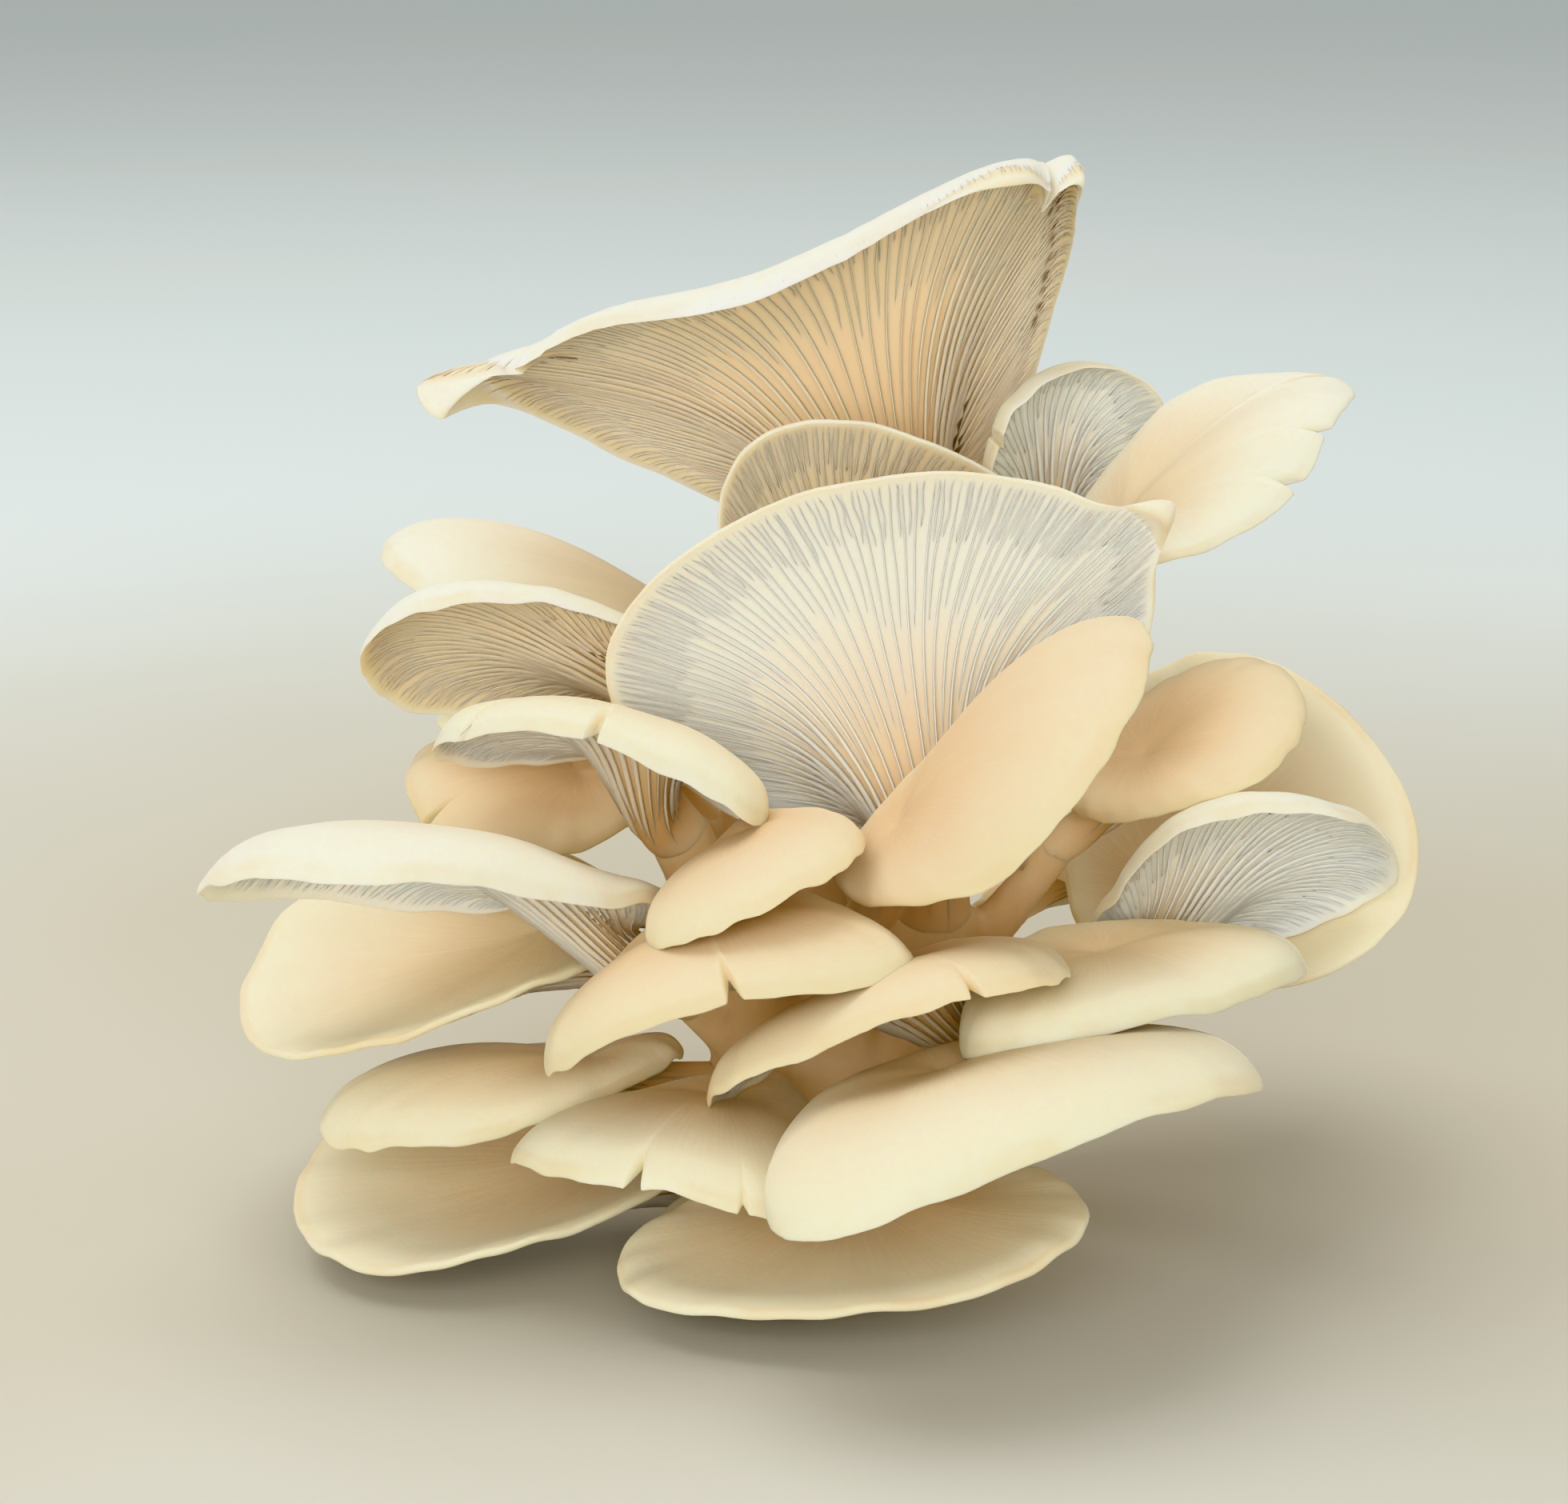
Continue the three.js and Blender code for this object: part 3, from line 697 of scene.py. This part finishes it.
def gill_finish(tone):
    """Thin pale blades that grow warmer towards the neck: partly the stem's own tan, partly painted shade under the
    cap.
    """
    finish, _, place, spot = mushroom_finish("gills_" + tone)
    clouds = finish.noise(spot, 90.0, 2.0)
    # partly painted shade: the gills take the stem's tan towards the neck, where the cap shades them
    warm = 0.8 * place.between(*GILL_WARMTH_AND_SHADE) + 0.1 * clouds
    finish.feed(Base_Color=finish.blend(warm, TONES[tone]["gill"], STEM_COLOUR))
    finish.feed(Roughness=0.5 + 0.15 * clouds)
    return finish.material


skin_finishes = {tone: flesh_finish(tone) for tone in TONES}
gill_finishes = {tone: gill_finish(tone) for tone in TONES}
print("finishes:", [made.name for made in (*skin_finishes.values(), *gill_finishes.values())])

# %% [markdown]
# ## Growing the mushrooms
# Flesh and gills go into one mesh with two finishes. The rib coordinates ride along as an attribute, which lets
# the finishes follow the growth of the cap wherever it turns.


# %% Mushrooms
def make_mesh(name, points, faces):
    """A mesh from an array of points and arrays of quads or triangles."""
    mesh = bpy.data.meshes.new(name)
    mesh.from_pydata(points, [], [face for group in faces for face in group.tolist()])
    mesh.shade_smooth()
    return mesh


def add_object(name, mesh):
    """An object at the origin that shows a mesh."""
    made = bpy.data.objects.new(name, mesh)
    bpy.context.scene.collection.objects.link(made)
    return made


def grow(cage):
    """One finished mushroom in place of its cage."""
    points, faces, ribs = flesh(cage)
    gill_points, gill_faces, gill_ribs = gills(cage, len(points))
    mesh = make_mesh(cage.node + "_cap", np.concatenate([points, gill_points]), faces + gill_faces)
    rib = mesh.attributes.new("rib", "FLOAT_VECTOR", "POINT")
    rib.data.foreach_set("vector", np.concatenate([ribs, gill_ribs]).astype(np.float32).ravel())
    flesh_faces = sum(len(group) for group in faces)
    slots = np.zeros(len(mesh.polygons), dtype=np.int32)
    slots[flesh_faces:] = 1
    mesh.polygons.foreach_set("material_index", slots)
    tone = character(cage.node)["tone"]
    mesh.materials.append(skin_finishes[tone])
    mesh.materials.append(gill_finishes[tone])
    piece = add_object(cage.node + "_cap", mesh)
    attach(piece, "root")
    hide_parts(cage.node)
    return piece


caps = [grow(cages[node]) for node in mushroom_nodes]
# a face with n corners makes n - 2 triangles
triangle_counts = [len(cap.data.loops) - 2 * len(cap.data.polygons) for cap in caps]
print("triangles in the caps:", sum(triangle_counts), "most in one:", max(triangle_counts))

# %% [markdown]
# ## Trunk
# In the real cluster the stems melt into one body. A voxel remesh does just that: it fills the union of the trunk
# and a short sleeve round each stem with small cubes and wraps one skin round them, which smoothing then softens.

# %% Trunk
VOXEL = 1.1 * MM
SLEEVE_SIDES = 20
FOOT_BAND = 0.9 * MM
# how far past the foot each ring of a sleeve stands, in millimetres, and its size as a share of the stem's
SLEEVE_STATIONS = [(-2.5, 0.96), (-1.0, 1.05), (1.5, 1.08), (5.0, 0.9)]


def sleeve(cage, first):
    """A short closed tube round the bottom of a free stem, reaching on into the trunk."""
    rings = cage.lower[-2:]
    neck, foot = rings[0].mean(axis=0), rings[1].mean(axis=0)
    along = (foot - neck) / np.linalg.norm(foot - neck)
    across = np.cross(along, cage.up)
    across /= np.linalg.norm(across)
    other = np.cross(along, across)
    turn = 2 * np.pi * np.arange(SLEEVE_SIDES) / SLEEVE_SIDES
    circle = np.cos(turn)[:, None] * across + np.sin(turn)[:, None] * other
    radius = cage.stem_radius
    rows = np.array([foot + along * place * MM + circle * radius * size for place, size in SLEEVE_STATIONS])
    points = np.concatenate([rows.reshape(-1, 3), [rows[0].mean(axis=0), rows[-1].mean(axis=0)]])
    return points, [*end_fans(len(rows), SLEEVE_SIDES, first), grid_faces(len(rows), SLEEVE_SIDES, first)]


def fused_trunk():
    """The trunk and sleeves as one remeshed, smoothed skin with a flat foot."""
    points, triangles = merged_surface(trunk_node)
    parts, faces, first = [points], [triangles], len(points)
    for cage in cages.values():
        tube, tube_faces = sleeve(cage, first)
        parts.append(tube)
        faces += tube_faces
        first += len(tube)
    rough = add_object("rough_trunk", make_mesh("rough_trunk", np.concatenate(parts), faces))
    remesh = rough.modifiers.new("fuse", "REMESH")
    remesh.mode = "VOXEL"
    remesh.voxel_size = VOXEL
    smooth = rough.modifiers.new("soften", "SMOOTH")
    smooth.factor = 0.5
    smooth.iterations = 10
    evaluated = rough.evaluated_get(bpy.context.evaluated_depsgraph_get())
    mesh = bpy.data.meshes.new_from_object(evaluated)
    bpy.data.objects.remove(rough)
    corners = np.empty(len(mesh.vertices) * 3)
    mesh.vertices.foreach_get("co", corners)
    corners = corners.reshape(-1, 3)
    corners[corners[:, 2] < FOOT_BAND, 2] = 0.0
    mesh.vertices.foreach_set("co", corners.ravel())
    mesh.shade_smooth()
    return mesh


def trunk_finish():
    """Firm cream flesh with fibres that run upwards."""
    finish = Finish("trunk_flesh", **FLESH_SETTINGS)
    spot = finish.node("ShaderNodeTexCoord", output="Object")
    fibres = finish.node("ShaderNodeVectorMath", {"operation": "MULTIPLY"}, {0: spot, 1: (1.0, 1.0, 0.18)})
    streaks = finish.noise(fibres, 500.0, 4.0)
    clouds = finish.noise(spot, 45.0, 3.0)
    tint = finish.blend(clouds.between(0.35, 0.7), STEM_COLOUR, DEEP_TAN_AND_SHADE)
    finish.feed(Base_Color=finish.blend(0.35 + 0.45 * streaks, tint, STEM_COLOUR))
    finish.feed(Roughness=0.5 + 0.15 * clouds)
    bump = finish.node("ShaderNodeBump", {}, {"Strength": 0.4, "Distance": 0.0005, "Height": streaks})
    finish.feed(Normal=bump)
    return finish.material


trunk = add_object("fused_trunk", fused_trunk())
trunk.data.materials.clear()
trunk.data.materials.append(trunk_finish())
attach(trunk, "root")
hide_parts(trunk_node)
print("trunk faces:", len(trunk.data.polygons))

# %% [markdown]
# ## Stage and light
# A wide round table top reaches so far that it fills the picture from every side: warm where the cluster stands,
# and cool and pale further off. One broad light hangs overhead, slightly to the left, and another fills from the
# front, so that the undersides glow rather than go black.

# %% Stage and light
STAGE_RADIUS = 9.0
STAGE_SIDES = 96
FLOOR_COLOUR = (0.58, 0.54, 0.43)
FAR_COLOUR = (0.72, 0.80, 0.80)
CLOUD_COLOUR = (0.76, 0.79, 0.77)
# metres from the cluster where the warm floor starts to cool, and where it has
COOLING = (0.24, 0.75)


def table_top():
    """A flat disc: a fan of triangles round its middle."""
    turn = 2 * np.pi * np.arange(STAGE_SIDES) / STAGE_SIDES
    edge = STAGE_RADIUS * np.column_stack([np.cos(turn), np.sin(turn), np.zeros(STAGE_SIDES)])
    around = np.arange(1, STAGE_SIDES + 1)
    fan = np.stack([np.zeros(STAGE_SIDES, dtype=int), around, np.roll(around, -1)], axis=-1)
    return make_mesh("stage", np.concatenate([np.zeros((1, 3)), edge]), [fan])


def stage_finish():
    """Matt paint, warm round the cluster and cool beyond it, with faint clouds."""
    finish = Finish("stage_paint", Roughness=0.6)
    spot = finish.node("ShaderNodeTexCoord", output="Object")
    reach = finish.node("ShaderNodeVectorMath", {"operation": "LENGTH"}, {0: spot}, output="Value")
    clouds = finish.noise(spot, 2.2, 2.0)
    paint = finish.blend((reach + 0.12 * clouds).between(*COOLING), FLOOR_COLOUR, FAR_COLOUR)
    finish.feed(Base_Color=finish.blend(clouds.between(0.4, 0.7) * 0.4, paint, CLOUD_COLOUR))
    return finish.material


# name, place and width in metres, watts and colour
LIGHTS = [
    ("overhead", (-0.4, 0.3, 1.7), 1.7, 20.0, (1.0, 0.99, 0.96)),
    ("front_window", (-0.5, -2.4, 0.55), 2.2, 54.0, (1.0, 0.99, 0.97)),
]
WORLD_COLOUR = (1.0, 0.995, 0.965, 1.0)
WORLD_STRENGTH = 0.54


def soft_light(name, location, size, energy, colour):
    """A square area light that faces the cluster."""
    data = bpy.data.lights.new(name, "AREA")
    data.size = size
    data.energy = energy
    data.color = colour
    light = bpy.data.objects.new(name, data)
    light.location = location
    light.rotation_euler = (AIM - Vector(location)).to_track_quat("-Z", "Y").to_euler()
    bpy.context.scene.collection.objects.link(light)


stage = add_object("stage", table_top())
stage.data.materials.append(stage_finish())
for light in LIGHTS:
    soft_light(*light)
world = bpy.data.worlds.new("soft_room")
world.use_nodes = True
background = world.node_tree.nodes["Background"]
background.inputs["Color"].default_value = WORLD_COLOUR
background.inputs["Strength"].default_value = WORLD_STRENGTH
bpy.context.scene.world = world
bpy.context.scene.view_settings.view_transform = "Khronos PBR Neutral"
print("lights:", [name for name, *_ in LIGHTS])
